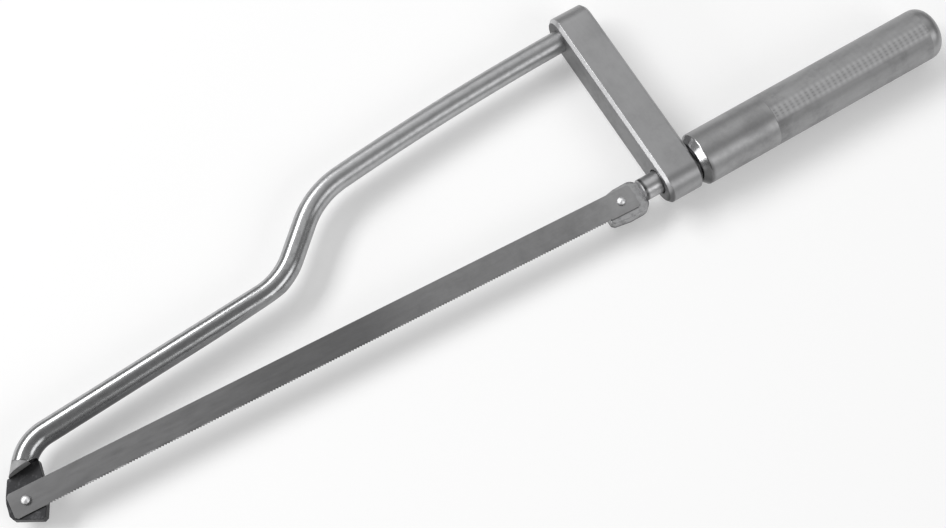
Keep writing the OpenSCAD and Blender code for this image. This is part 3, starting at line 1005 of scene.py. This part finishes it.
class SAW_OT_bolt(Operator):
    """Build the draw bolt, its eye, shank and threaded tail"""
    bl_idname = "saw.bolt"
    bl_label = "Draw Bolt"

    def execute(self, context):
        bolt, post, rod = settings().saw_bolt, settings().saw_post, settings().saw_rod
        finish = metal("plated_bolt", bolt.colour, (1, 0.62), (0.38, 0.55),
                       grain_scale=800, patch_scale=240, patch=(0.45, 0.7), grain_depth=0.35,
                       bump=0.35, bump_depth=0.04)
        turned = metal("turned_shank", bolt.colour, (1.25, 1), (0.36, 0.45),
                       patch_scale=160, grain_depth=0.2, stretch=(1, 0.2, 0.2), bump=0.15)
        # Painted shade: the eye darker on its lower side faces, the shank darker next to the
        # eye's shoulder
        for part, way, shade_from, shade_full, share in ((finish, 2, -2.4, -5.2, 0.8),
                                               (turned, 0, 13.2, 12, 0.85)):
            tree = part.node_tree
            place = opened(tree)[1][way]
            lay_painted_light(tree, slope(tree, place, shade_from * MM, shade_full * MM, 0, share),
                    tint(bolt.colour, 0.15))

        # The eye lies a little below the draw axis and narrows to the toe
        eye_drop, shoulder_x, shoulder_y, shoulder = 1, 6.8, 3.5, 5
        upper = [(-9.5, -5.7), (-8.1, -7.1), (0, -8.5), (shoulder_x, -8.5)]
        upper += [(shoulder_x + shoulder * math.sin(a), -shoulder_y - shoulder * math.cos(a))
                  for a in fan(QUARTER, 8)[1:-1]]
        upper += [(shoulder_x + shoulder, -shoulder_y)]
        outline = upper + [(x, -y) for x, y in reversed(upper)]
        outline = rounded(mm(*((x, y - eye_drop) for x, y in outline)), 1.2 * MM)
        eye = as_object(prism(outline, -rod.diameter / 2, 0, round_rim(bolt.rim), saw_point),
                        "draw_bolt_piece")

        radius, crest = bolt.shank / 2, bolt.tail / 2
        root = crest - 0.4 * MM
        shank_start, bevel = 10.7 * MM, 0.4 * MM
        end = post.reach + post.width + settings().saw_handle.gap / 2
        profile = [(shank_start, 0), (shank_start, radius - 0.5 * MM), (11.2 * MM, radius),
                   (end - bevel, radius), (end, radius - bevel), (end, root)]
        for k in range(int(bolt.tail_length / bolt.pitch)):
            profile += [(end + (k + share) * bolt.pitch, height) for share, height in (
                (0.25, root), (0.5, crest), (0.75, crest), (1, root))]
        profile += [(end + bolt.tail_length, crest - 0.6 * MM), (end + bolt.tail_length, 0)]
        combine(eye, lathe(profile, 64, along_draw_axis()), "UNION")
        smooth(eye, 35)
        finish_piece(eye, finish, "draw", "bolt_steel", "draw_bolt")
        eye_end = ZERO.x + 11.9 * MM
        share_out(eye, [turned], lambda face: int(face.center.x > eye_end))
        return {"FINISHED"}


class SAW_OT_fasteners(Operator):
    """Build the guide screw, the rod screw, the thrust washer and the threaded insert"""
    bl_idname = "saw.fasteners"
    bl_label = "Screws and Washer"

    def execute(self, context):
        bolt, post, rod = settings().saw_bolt, settings().saw_post, settings().saw_rod
        black = metal("blackened_screw", bolt.screw_colour, (1, 2), (0.4, 0.5),
                      grain_scale=1200, patch_scale=500, grain_depth=0.3, bump=0.2)
        plated = metal("turned_steel", bolt.colour, (1, 0.75), (0.3, 0.42), patch_scale=200,
                       grain_depth=0.2, bump=0.15)
        start, end = post.reach, post.reach + post.width
        gap = settings().saw_handle.gap
        socket, socket_sides = 1.5 * MM, 6
        point_x, head_x = -1 * MM, end - SCREW_HEAD
        for name, node, shape, hollow, sides, place, rim in (
                ("guide_set_screw", "guide_screw",
                 mm((-9.6, 0), (-9.6, 2.1), (-9.2, 2.5), (-6.5, 2.5), (-6.08, 2.1), (-6.08, 1.5),
                    (-4.3, 1.5), (-4, 1.2), (-4, 0)),
                 [(-10.6 * MM, socket), (-7.5 * MM, socket), (-7 * MM, 0)],
                 48, upright(start + GUIDE_SETBACK, 0), 0.08 * MM),
                ("rod_set_screw", "rod_screw",
                 [(start + point_x, 0), (start + point_x, 2.1 * MM),
                  (start - 0.6 * MM, 2.5 * MM), (head_x, 2.5 * MM),
                  (end - 0.25 * MM, 4.75 * MM), (end, 4.6 * MM), (end, 0)],
                 [(head_x - 0.4 * MM, 0), (head_x, socket), (end + 1 * MM, socket)],
                 64, along_draw_axis(0, rod.height), 0.1 * MM)):
            screw = as_object(lathe(shape, sides, place), name)
            combine(screw, lathe(hollow, socket_sides, place))
            soften(screw, rim)
            finish_piece(screw, black, "frame", "black_screws", node)

        for name, node, finish, slot, body, x, length, inner, outer, rim, sides in (
                ("handle_washer", "thrust_washer", black, "black_screws", "frame", end,
                 gap - 0.08 * MM, 6 * MM, 9.4 * MM, 0.15 * MM, 96),
                ("threaded_insert", "handle_nut", plated, "bolt_steel", "grip", end + gap,
                 INSERT_LENGTH, 4.08 * MM, INSERT_RADIUS, 0.3 * MM, 64)):
            ring = rounded([(0, inner), (0, outer), (length, outer), (length, inner)], rim, 3)
            piece = as_object(lathe(ring, sides, along_draw_axis(x), loops=True), name)
            smooth(piece)
            finish_piece(piece, finish, body, slot, node)
        return {"FINISHED"}


# The handle

def handle_profile(grip):
    """The outline from the blind bore over the front face and the knurl to the rear end."""
    radius, seat = grip.diameter / 2, INSERT_RADIUS + 0.01 * MM
    bore, bore_depth, drill_tip = 4.4 * MM, 43.2 * MM, 45.87 * MM
    profile = [(drill_tip, 0), (bore_depth, bore), (INSERT_LENGTH, bore)]
    profile += rounded([(INSERT_LENGTH, seat), (0, seat), (0, radius - grip.chamfer),
                        (grip.chamfer, radius), (12 * MM, radius)], 0.9 * MM, 6,
                       closed=False)[:-1]
    profile += [(k * 4 * MM, radius) for k in range(2, 10)]
    rings_per_rib, margin = 8, 0.3 * MM
    step = grip.rib_pitch / rings_per_rib
    count = round((grip.knurl_end - grip.knurl_start) / step)
    profile += [(grip.knurl_start - margin, radius)]
    profile += [(grip.knurl_start + k * step, radius) for k in range(count + 1)]
    profile += [(grip.knurl_end + margin, radius)]
    turn = grip.length - grip.rounding
    profile += [(turn + grip.rounding * math.sin(a),
                 radius - grip.rounding * (1 - math.cos(a))) for a in fan(QUARTER, 12)]
    return profile + [(grip.length, 0)]


def shade_handle_front(tree, start, painted_colour):
    """Painted shade at the front of the handle, low down."""
    _, (along, across, _) = opened(tree)
    low = slope(tree, across, -4 * MM, -9.5 * MM, 0, 0.85)
    near = slope(tree, along, start + 5.5 * MM, start + 2.5 * MM)
    lay_painted_light(tree, math_node(tree, "MULTIPLY", low, near), painted_colour)


def shade_knurl(tree, colour):
    """The fresh band is painted lighter as a painted highlight, with painted shade in its hollows
    and in a strip beside it.
    """
    across = opened(tree)[1][1]
    # Painted shade in a strip beside the band
    strip = math_node(tree, "MULTIPLY", slope(tree, across, -4.6 * MM, -7.4 * MM, 0, 0.38),
                      slope(tree, across, -10.8 * MM, -8.6 * MM))
    lay_painted_light(tree, strip, tint(colour, 0.35))
    # Painted highlight over the upper band, and painted shade in its hollows
    lay_painted_light(tree, slope(tree, noted(tree, "rubbed"), 0.2, 1, 0, 0.65), tint(colour, 1.6))
    lay_painted_light(tree, slope(tree, noted(tree, "pressed"), 0, 1, 0, 0.2), tint(colour, 0.35))


class SAW_OT_handle(Operator):
    """Build the turned and knurled handle"""
    bl_idname = "saw.handle"
    bl_label = "Handle"

    def execute(self, context):
        grip, post = settings().saw_handle, settings().saw_post
        finish = metal("turned_aluminium", grip.colour, (1, 0.78), (0.42, 0.52),
                       grain_scale=600, patch_scale=45, patch=(0.4, 0.75), grain_depth=0.12,
                       stretch=(1, 0.25, 0.25), bump=0.12)
        rim = metal("machined_rim", grip.colour, (1.4, 1), (0.21, 0.26), patch_scale=200,
                    grain_depth=0.1, bump=0.03, bump_depth=0.01)
        knurled = metal("knurled_grip", grip.colour, (1.05, 0.8), (0.55, 0.62),
                        grain_scale=420, patch_scale=40, patch=(0.42, 0.7), grain_depth=0.3,
                        stretch=(0.35, 1, 1), bump=0.35, bump_depth=0.05)
        start = post.reach + post.width + grip.gap
        for part in (rim, finish):
            shade_handle_front(part.node_tree, start, tint(grip.colour, 0.14))
        shade_knurl(knurled.node_tree, grip.colour)

        piece = as_object(lathe(handle_profile(grip), 216, lambda along, across, up:
                                Vector((along, across, up))), "round_handle")
        run_tree(piece, knurl_tree(), {
            "Start": grip.knurl_start, "End": grip.knurl_end, "Rib Pitch": grip.rib_pitch,
            "Rib Depth": grip.rib_depth, "Grooves": float(grip.grooves),
            "Groove Depth": grip.groove_depth, "Turn": grip.turn,
            "Radius": grip.diameter / 2, "Material": finish})
        piece.data.transform(Matrix.Translation(ZERO + Vector((start, 0, 0))))
        smooth(piece, 40)
        finish_piece(piece, finish, "grip", "handle_aluminium", "handle")

        def choose(face):
            """1 on the front face and its chamfer, 2 on the knurl, 0 elsewhere."""
            along = face.center.x - ZERO.x - start
            if along < grip.chamfer + 0.1 * MM:
                return 1
            return 2 if grip.knurl_start < along < grip.knurl_end else 0

        share_out(piece, (rim, knurled), choose)
        return {"FINISHED"}


# Stage

# Name, turn and rise in degrees, width and height in metres
LIGHTS = (("key", 127, 45, 3.7, 1.2), ("side", 178, 17, 2.4, 0.8),
          ("fill", -60, 34, 3.0, 1.8), ("top", 42, 56, 3.6, 3.0))
LIGHT_DISTANCE = 4.0

# Place of the camera in millimetres from the saw's zero, and the ways of its three axes
CAMERA_PLACE = (-204.2, -206.4, 657.9)
CAMERA_AXES = ((0.8587, -0.5124, 0), (0.4788, 0.8024, 0.3561), (-0.1825, -0.3058, 0.9344))


def soft_light(name, turn, rise, width, height, power):
    """A soft panel that faces the saw."""
    turn, rise = math.radians(turn), math.radians(rise)
    place = LIGHT_DISTANCE * Vector((math.cos(turn) * math.cos(rise),
                                     math.sin(turn) * math.cos(rise), math.sin(rise)))
    light = bpy.data.lights.new(name, "AREA")
    light.shape = "RECTANGLE"
    light.size, light.size_y = width, height
    light.energy = power
    lamp = bpy.data.objects.new(name, light)
    lamp.location = place
    lamp.rotation_euler = (-place).to_track_quat("-Z", "Y").to_euler()
    lamp.visible_camera = False
    bpy.context.scene.collection.objects.link(lamp)


def floor_paint(stage):
    """Pale paint that also glows a little in what the camera sees, not in the light it throws."""
    paint = bpy.data.materials.new("pale_floor")
    paint.use_nodes = True
    tree = paint.node_tree
    shader = tree.nodes["Principled BSDF"]
    feed(tree, shader, {"Base Color": (*stage.floor, 1), "Roughness": 0.9,
                        "Specular IOR Level": 0.0})
    rays = add_node(tree, "ShaderNodeLightPath").outputs
    either = math_node(tree, "MAXIMUM", rays["Is Camera Ray"], rays["Is Glossy Ray"])
    seen = math_node(tree, "MAXIMUM", either, rays["Is Transmission Ray"])
    glow = add_node(tree, "ShaderNodeEmission", {
        "Color": (stage.glow, stage.glow, stage.glow, 1), "Strength": seen})
    both = add_node(tree, "ShaderNodeAddShader", {0: shader.outputs[0], 1: glow.outputs[0]})
    feed(tree, tree.nodes["Material Output"], {"Surface": both.outputs[0]})
    return paint


class SAW_OT_stage(Operator):
    """Set up the floor, the lights and the camera"""
    bl_idname = "saw.stage"
    bl_label = "Stage"

    def execute(self, context):
        scene = context.scene
        stage = scene.saw_stage
        grid = bmesh.new()
        bmesh.ops.create_grid(grid, x_segments=8, y_segments=8, size=40.0)
        floor = as_object(grid, "floor")
        floor.data.materials.append(floor_paint(stage))

        world = bpy.data.worlds.new("room")
        scene.world = world
        world.use_nodes = True
        world.node_tree.nodes["Background"].inputs["Color"].default_value = (*stage.room, 1)
        for light in LIGHTS:
            soft_light(*light, getattr(stage, light[0]))

        view = bpy.data.cameras.new("camera")
        view.sensor_width = 36.0
        view.lens = stage.lens
        view.clip_start = 0.01
        camera = bpy.data.objects.new("camera", view)
        camera.matrix_world = (Matrix.Translation(ZERO + Vector(CAMERA_PLACE) * MM)
                               @ Matrix(CAMERA_AXES).transposed().to_4x4())
        scene.collection.objects.link(camera)
        scene.camera = camera
        scene.view_settings.view_transform = "Standard"
        return {"FINISHED"}


# Add-on

GROUPS = (("saw_rod", SawRodSettings), ("saw_post", SawPostSettings),
          ("saw_toe", SawToeSettings), ("saw_blade", SawBladeSettings),
          ("saw_bolt", SawBoltSettings), ("saw_handle", SawHandleSettings),
          ("saw_stage", SawStageSettings))
STEPS = (SAW_OT_rod, SAW_OT_post, SAW_OT_toe, SAW_OT_pins, SAW_OT_blade, SAW_OT_bolt,
         SAW_OT_fasteners, SAW_OT_handle, SAW_OT_stage)


class SAW_PT_panel(Panel):
    bl_idname = "SAW_PT_panel"
    bl_label = "Hacksaw"
    bl_space_type = "VIEW_3D"
    bl_region_type = "UI"
    bl_category = "Hacksaw"

    def draw(self, context):
        for name, group in GROUPS:
            box = self.layout.box()
            for setting in group.__annotations__:
                box.prop(getattr(context.scene, name), setting)
        for step in STEPS:
            self.layout.operator(step.bl_idname)


def register():
    for name, group in GROUPS:
        bpy.utils.register_class(group)
        setattr(bpy.types.Scene, name, PointerProperty(type=group))
    for step in STEPS:
        bpy.utils.register_class(step)
    bpy.utils.register_class(SAW_PT_panel)


def unregister():
    bpy.utils.unregister_class(SAW_PT_panel)
    for step in reversed(STEPS):
        bpy.utils.unregister_class(step)
    for name, group in reversed(GROUPS):
        delattr(bpy.types.Scene, name)
        bpy.utils.unregister_class(group)


def main():
    register()
    for step in STEPS:
        kind, name = step.bl_idname.split(".")
        getattr(getattr(bpy.ops, kind), name)()


if __name__ == "__main__":
    main()
